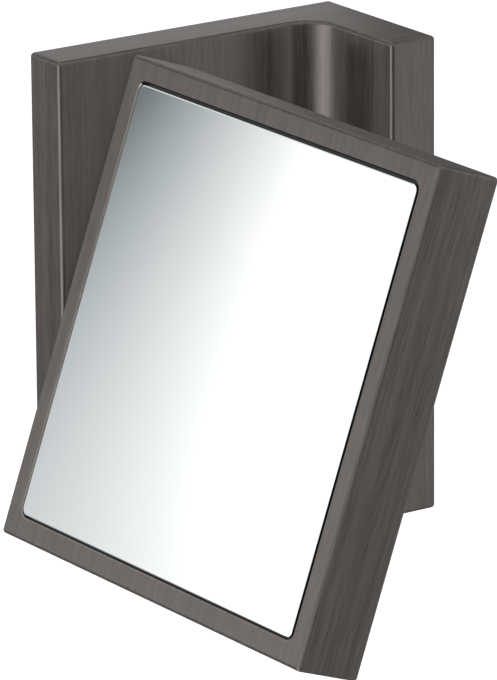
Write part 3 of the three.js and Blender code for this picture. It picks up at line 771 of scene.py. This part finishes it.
def plate_profile():
    """The mounting plate's section, a shallow channel of pressed sheet, as (y, z)."""
    top = TOP_Z - SKIN - GAP
    bottom = PLATE_LOW.z
    outer, inner, lip = 2.2 * MM, 1.0 * MM, 0.5 * MM
    tip = -FLANGE_DEPTH
    points = arc((-outer, top - outer), outer, 0, 90, 8)
    points += arc((tip + lip, top - lip), lip, 90, 180, 3)
    points += arc((tip + lip, top - FLANGE_THICKNESS + lip), lip, 180, 270, 3)
    points += arc((-PLATE_THICKNESS - inner, top - FLANGE_THICKNESS - inner), inner, 90, 0, 6)
    points += arc((-PLATE_THICKNESS - inner, bottom + FLANGE_THICKNESS + inner), inner, 0, -90, 6)
    points += arc((tip + lip, bottom + FLANGE_THICKNESS - lip), lip, 90, 180, 3)
    points += arc((tip + lip, bottom + lip), lip, 180, 270, 3)
    points += arc((-outer, bottom + outer), outer, -90, 0, 8)
    return points


def mounting_plate_piece():
    half_width = PLATE_HIGH.x
    profile = plate_profile()
    rings = [along_x(profile, -half_width), along_x(profile, half_width)]
    plate = make_object("mounting_plate_pressed", *loft(rings))
    soften(plate, lambda a, b: abs(a.x - b.x) < 1e-7, 0.35 * MM)
    for z in WALL_HOLE_HEIGHTS:
        deep = PLATE_THICKNESS + 0.1 * MM
        carve(plate, tool_rod("Y", 2 * WALL_HOLE_RADIUS, (-deep, 0.1 * MM), (0, 0, z), WALL_HOLE_RADIUS))
    return finish_piece(plate, PLATED, "bracket", ["mounting_plate"])


def grub_screw_piece(side, x):
    """A headless screw: six-sided socket at its lower end, fine thread, and a short blunt cone at its tip."""
    low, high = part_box(f"bracket_grub_screw_{side}")
    start, end = low.z, high.z
    rings = [along_z(hexagon(1.0 * MM), start + 1.7 * MM), along_z(hexagon(1.0 * MM), start + 0.1 * MM)]
    rings += [along_z(hexagon(1.1 * MM), start), along_z(circle(1.55 * MM), start)]
    pitch = 0.7 * MM
    z = start
    while z + pitch < end - 0.8 * MM:
        rings.append(along_z(circle(GRUB_RADIUS), z + pitch * 0.5))
        rings.append(along_z(circle(GRUB_RADIUS * 0.82), z + pitch * 0.95))
        z += pitch
    rings.append(along_z(circle(GRUB_RADIUS * 0.95), end - 0.6 * MM))
    rings.append(along_z(circle(GRUB_RADIUS * 0.55), end))
    screw = make_object(f"grub_screw_{side}", *loft(rings))
    screw.data.transform(Matrix.Translation((x, GRUB_Y, 0)))
    return finish_piece(screw, BLACKENED, "bracket", [f"bracket_grub_screw_{side}"])


def spacer_piece():
    low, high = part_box("spacer_washer")
    radius, edge = (high.z - low.z) / 2, 0.2 * MM
    rings = [along_x(circle(radius - edge), low.x), along_x(circle(radius), low.x + edge)]
    rings += [along_x(circle(radius), high.x - edge), along_x(circle(radius - edge), high.x)]
    rings += [along_x(circle(SPACER_BORE + edge), high.x), along_x(circle(SPACER_BORE), high.x - edge)]
    rings += [along_x(circle(SPACER_BORE), low.x + edge), along_x(circle(SPACER_BORE + edge), low.x)]
    washer = make_object("spacer_washer_turned", *loft(rings, closed=True))
    washer.data.transform(Matrix.Translation((0, PIVOT.y, PIVOT.z)))
    return finish_piece(washer, NYLON, "bracket", ["spacer_washer"])


bracket_piece()
mounting_plate_piece()
grub_screw_piece("left", -GRUB_X)
grub_screw_piece("right", GRUB_X)
spacer_piece()
frame_piece()
glass_piece()
seal_piece()
cover_piece()
for index, (side_x, side_z) in enumerate(CORNERS, 1):
    cover_screw_piece(index, side_x, side_z)

# ---------------------------------------------------------------- CAD nodes that stay

CAD_FINISH = {
    "arm_thread_insert": PLATED,
    "pivot_axle": BRIGHT,
    "disc_spring_1": BLACKENED,
    "disc_spring_2": BLACKENED,
    "thrust_washer": BRIGHT,
    "lock_nut": BRIGHT,
    "adhesive_sheet": TAPE,
    "carrier_plate": ALUMINIUM,
    "hinge_block": PLATED,
    "pivot_bush": BRONZE,
    "friction_disc": BRONZE,
    "hinge_block_screw_upper": BRIGHT,
    "hinge_block_screw_lower": BRIGHT,
    **{f"carrier_buffer_{i}": RUBBER for i in range(1, 5)},
}
for node, material in CAD_FINISH.items():
    mesh = frame["nodes"][node].data
    mesh.materials.clear()
    mesh.materials.append(material)

# ---------------------------------------------------------------- stage: camera, floor and light

IMAGE_LONG_SIDE = 680
SENSOR = 36.0
FOCAL_PIXELS = 6891.0
CAMERA_PLACE = (1.6649, -1.1875, 0.5866)
FLOOR_Z = -0.6


def aim(azimuth, elevation, roll):
    """Rotation of a camera that looks level with the angles, which are in degrees."""
    azimuth, elevation, roll = (math.radians(a) for a in (azimuth, elevation, roll))
    look = Vector((
        -math.sin(azimuth) * math.cos(elevation),
        math.cos(azimuth) * math.cos(elevation),
        -math.sin(elevation),
    ))
    turn = look.to_track_quat("-Z", "Y").to_matrix()
    return turn @ Matrix.Rotation(roll, 3, "Z")


CAMERA_TURN = aim(55.666, 16.717, -0.481)


def camera():
    data = bpy.data.cameras.new("camera")
    data.sensor_width = SENSOR
    data.lens = FOCAL_PIXELS * SENSOR / IMAGE_LONG_SIDE
    data.clip_start = 0.05
    data.clip_end = 60
    rig = bpy.data.objects.new("camera", data)
    bpy.context.scene.collection.objects.link(rig)
    rig.matrix_world = Matrix.Translation(CAMERA_PLACE) @ CAMERA_TURN.to_4x4()
    bpy.context.scene.camera = rig


def stage_plane(name, size, matrix, material):
    half_x, half_y = size[0] / 2, size[1] / 2
    verts = [(-half_x, -half_y, 0), (half_x, -half_y, 0), (half_x, half_y, 0), (-half_x, half_y, 0)]
    mesh = bpy.data.meshes.new(name)
    mesh.from_pydata(verts, [], [(0, 1, 2, 3)])
    mesh.materials.append(material)
    plane = bpy.data.objects.new(name, mesh)
    bpy.context.scene.collection.objects.link(plane)
    plane.matrix_world = matrix
    return plane


def floor():
    n = Nodes("floor_paint")
    n.set(Base_Color=(0.9, 0.9, 0.9, 1), Roughness=0.9, Emission_Color=(1, 1, 1, 1), Emission_Strength=0.35)
    stage_plane("floor", (30, 30), Matrix.Translation((0, 0, FLOOR_Z)), n.material)


def area_light(name, place, target, size, power):
    data = bpy.data.lights.new(name, "AREA")
    data.shape = "RECTANGLE"
    data.size, data.size_y = size
    data.energy = power
    lamp = bpy.data.objects.new(name, data)
    bpy.context.scene.collection.objects.link(lamp)
    look = Vector(target) - Vector(place)
    lamp.matrix_world = Matrix.Translation(place) @ look.to_track_quat("-Z", "Y").to_matrix().to_4x4()
    lamp.visible_camera = False
    lamp.visible_glossy = False


# Brightness of the studio round the object, by compass angle in degrees from +X to +Y: low, what lies
# below eye level; high, what lies above it
LOW_BAND = [
    (-180, 0.3), (-146, 0.12), (-134, 0.3), (-118, 2.3), (-98, 3.5), (-74, 3.6), (-60, 1.3), (-50, 0.03),
    (-2, 0.03), (14, 0.3), (24, 0.42), (36, 0.42), (60, 0.5), (110, 0.3), (128, 0.1), (155, 0.1), (170, 0.3),
    (180, 0.3),
]
HIGH_BAND = [(-180, 1.0), (-90, 1.2), (-30, 1.0), (60, 1.0), (120, 0.25), (150, 0.25), (180, 1.0)]
DARK_FLAG_WAY = (-0.787, -0.379, 0.487)


def band(n, turn, stops):
    ramp = n.add("ShaderNodeValToRGB")
    ramp.color_ramp.interpolation = "LINEAR"
    brightest = max(value for _, value in stops)
    for i, (angle, value) in enumerate(stops):
        stop = ramp.color_ramp.elements[i] if i < 2 else ramp.color_ramp.elements.new(1.0)
        stop.position = (angle + 180) / 360
        stop.color = (value / brightest, value / brightest, value / brightest, 1)
    n.link(turn, ramp.inputs[0])
    return n.math("MULTIPLY", ramp.outputs[0], brightest)


def dot(n, a, b):
    node = n.add("ShaderNodeVectorMath", operation="DOT_PRODUCT")
    n.link(a, node.inputs[0])
    node.inputs[1].default_value = b
    return node.outputs["Value"]


def world():
    sky = bpy.data.worlds.new("studio")
    sky.use_nodes = True
    sky.cycles.sampling_method = "NONE"
    bpy.context.scene.world = sky
    n = Nodes.on_tree(sky.node_tree)
    way = n.add("ShaderNodeTexCoord").outputs["Generated"]
    parts = n.add("ShaderNodeSeparateXYZ")
    n.link(way, parts.inputs[0])
    compass = n.math("ARCTAN2", parts.outputs[1], parts.outputs[0])
    turn = n.math("ADD", n.math("DIVIDE", compass, 2 * math.pi), 0.5)
    above = n.ramp(parts.outputs[2], (-0.10, 0.0), (0.10, 1.0), "SMOOTHSTEP")
    light = n.mix_value(above, band(n, turn, LOW_BAND), band(n, turn, HIGH_BAND))
    # A dark flag high on the left, which the rounded edges under the top faces show as a thin line
    line_flag = n.ramp(dot(n, way, DARK_FLAG_WAY), (0.94, 1.0), (0.985, 0.06), "SMOOTHSTEP")
    light = n.math("MULTIPLY", light, line_flag)

    # The soft grey flag that the glass shows at its upper left, laid out about the way the glass looks
    glass_normal = Vector((0, -math.cos(TILT), math.sin(TILT)))

    def mirrored(v):
        return v - 2 * v.dot(glass_normal) * glass_normal

    axes = [mirrored(CAMERA_TURN @ Vector(a)) for a in ((1, 0, 0), (0, -1, 0), (0, 0, -1))]
    ahead = dot(n, way, axes[2])
    right = n.math("DIVIDE", dot(n, way, axes[0]), ahead)
    down = n.math("DIVIDE", dot(n, way, axes[1]), ahead)
    x = n.ramp(right, (-0.035, -1.05), (0.035, 1.05))
    y = n.ramp(down, (-0.04, -1.2), (0.04, 1.2))
    across = n.math("MULTIPLY", x, n.math("ADD", n.math("MULTIPLY", x, 0.28), 1.0))
    along = n.math("MULTIPLY", y, n.math("ADD", n.math("MULTIPLY", y, -0.16), 0.31))
    twist = n.math("MULTIPLY", n.math("MULTIPLY", x, y), -0.11)
    level = n.math("ADD", n.math("ADD", across, along), n.math("ADD", twist, 1.16))
    slope = n.math("ADD", n.math("MULTIPLY", right, 0.6), down)
    brighter = n.ramp(slope, (0.03, 0.0), (0.2, 3.6))
    darker = n.ramp(slope, (-0.13, -1.2), (-0.06, 0.0))
    core = n.math("MINIMUM", n.math("MAXIMUM", level, 0.2), 1.3)
    flag = n.math("MAXIMUM", n.math("ADD", core, n.math("ADD", brighter, darker)), 0.02)
    reach = n.math("SQRT", n.math("ADD", n.math("MULTIPLY", right, right), n.math("MULTIPLY", down, down)))
    within = n.ramp(reach, (0.12, 1.0), (0.35, 0.0), "SMOOTHSTEP")
    near = n.math("MULTIPLY", within, n.math("GREATER_THAN", ahead, 0.0))
    light = n.mix_value(near, light, flag)
    cold = n.ramp(flag, (0.2, 1.0), (0.95, 0.0))
    tint = n.mix_color(n.math("MULTIPLY", cold, near), (1.0, 1.0, 1.0), (0.90, 1.0, 1.02))
    background = sky.node_tree.nodes["Background"]
    n.link(tint, background.inputs["Color"])
    n.link(light, background.inputs["Strength"])


def soft_card(name, target, way, distance, fade_across, fade_up, strength):
    """A card that glows in the metal's reflections only. It hangs at a distance from the target, along the
    way that the target's face looks, and fades out between two half sizes across and up."""
    n = Nodes(name + "_glow")
    parts = n.add("ShaderNodeSeparateXYZ")
    n.link(n.add("ShaderNodeTexCoord").outputs["Object"], parts.inputs[0])
    across, up = (
        n.ramp(n.math("ABSOLUTE", part), (fade[0], 1.0), (fade[1], 0.0), "SMOOTHSTEP")
        for part, fade in ((parts.outputs[0], fade_across), (parts.outputs[1], fade_up))
    )
    glow = n.add("ShaderNodeEmission")
    glow.inputs["Strength"].default_value = strength
    clear = n.add("ShaderNodeBsdfTransparent")
    blend = n.add("ShaderNodeMixShader")
    n.link(n.math("MULTIPLY", across, up), blend.inputs[0])
    n.link(clear.outputs[0], blend.inputs[1])
    n.link(glow.outputs[0], blend.inputs[2])
    n.link(blend.outputs[0], n.tree.nodes["Material Output"].inputs[0])
    way = Vector(way).normalized()
    turn = (-way).to_track_quat("Z", "Y").to_matrix().to_4x4()
    size = (2 * fade_across[1], 2 * fade_up[1])
    card = stage_plane(name, size, Matrix.Translation(Vector(target) + way * distance) @ turn, n.material)
    card.visible_camera = False
    card.visible_diffuse = False
    card.visible_shadow = False


# Name, target, way, distance, fade across, fade up, strength. The first lights the end of the wall leg and
# the second the arm's top. The last, nearly dark, shades the wall leg: it stands in the bracket's inner
# corner, clear of every face while the head is at rest.
CARDS = [
    ("right_card", (0.020, -0.02, 0.055), (0.78, 0.55, -0.30), 0.35, (0.03, 0.10), (0.05, 0.24), 1.5),
    ("top_card", (-0.035, -0.06, 0.075), (-0.787, 0.545, 0.289), 0.14, (0.045, 0.08), (0.02, 0.06), 0.8),
    ("leg_shade", (0.016, -0.0163, 0), (-0.82, -0.57, 0), 0.014, (0.003, 0.008), (0.066, 0.074), 0.05),
]

camera()
floor()
world()
for card in CARDS:
    soft_card(*card)
area_light("overhead", (0.2, -0.4, 2.4), (0, 0, 0), (3.0, 3.0), 8)
card_names = {card[0] for card in CARDS}
for shown in bpy.data.objects:
    if shown.type == "MESH" and shown.name not in card_names:
        shown.visible_glossy = False
bpy.context.scene.view_settings.view_transform = "Standard"
